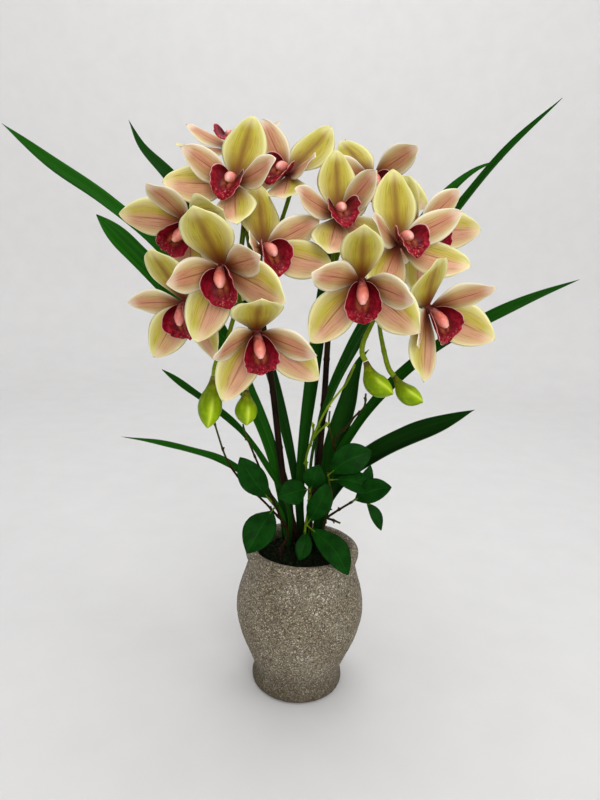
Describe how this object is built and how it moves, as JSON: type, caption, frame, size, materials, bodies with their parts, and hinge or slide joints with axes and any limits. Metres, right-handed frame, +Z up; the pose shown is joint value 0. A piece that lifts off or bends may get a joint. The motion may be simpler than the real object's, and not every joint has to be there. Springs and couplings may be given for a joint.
{
  "type": "potted orchid",
  "caption": "Cymbidium orchid in bloom with arching flower spikes, strap leaves, buds and filler foliage, planted in moss in an urn-shaped cement pot.",
  "frame": {"origin": "middle of the pot's flat foot, on the surface that it stands on", "axes": "+Z up; -Y is the front, the side that most of the flowers face; +X to the right seen from the front"},
  "size_m": [0.5047, 0.2853, 0.5675],
  "materials": {
    "cement": "rough cast, speckled",
    "moss": "matte, fibrous",
    "strap_leaf": "satin leaf",
    "sprig_leaf": "satin leaf",
    "flower_stalk": "satin, dark below and green above",
    "tepal": "soft matte petal",
    "lip": "waxy petal",
    "bud": "waxy"
  },
  "bodies": {
    "root": {"bloom_left_1_lip": "lip", "bloom_left_1_tepals": "tepal", "bloom_left_2_lip": "lip", "bloom_left_2_tepals": "tepal", "bloom_left_3_lip": "lip", "bloom_left_3_tepals": "tepal", "bloom_left_4_lip": "lip", "bloom_left_4_tepals": "tepal", "bloom_left_5_lip": "lip", "bloom_left_5_tepals": "tepal", "bloom_left_6_lip": "lip", "bloom_left_6_tepals": "tepal", "bloom_left_7_lip": "lip", "bloom_left_7_tepals": "tepal", "bloom_left_8_lip": "lip", "bloom_left_8_tepals": "tepal", "bloom_right_1_lip": "lip", "bloom_right_1_tepals": "tepal", "bloom_right_2_lip": "lip", "bloom_right_2_tepals": "tepal", "bloom_right_3_lip": "lip", "bloom_right_3_tepals": "tepal", "bloom_right_4_lip": "lip", "bloom_right_4_tepals": "tepal", "bloom_right_5_lip": "lip", "bloom_right_5_tepals": "tepal", "bloom_right_6_lip": "lip", "bloom_right_6_tepals": "tepal", "bud_left_1": "bud", "bud_left_2": "bud", "bud_right_1": "bud", "bud_right_2": "bud", "leaf_centre": "strap_leaf", "leaf_left_broad": "strap_leaf", "leaf_left_long": "strap_leaf", "leaf_left_low": "strap_leaf", "leaf_left_lowest": "strap_leaf", "leaf_left_upper": "strap_leaf", "leaf_right_broad": "strap_leaf", "leaf_right_long": "strap_leaf", "leaf_right_low": "strap_leaf", "leaf_right_lowest": "strap_leaf", "leaf_right_short": "strap_leaf", "moss": "moss", "pot": "cement", "spike_left": "flower_stalk", "spike_right": "flower_stalk", "sprig_centre": "sprig_leaf", "sprig_left": "sprig_leaf", "sprig_right": "sprig_leaf"}
  },
  "joints": []
}
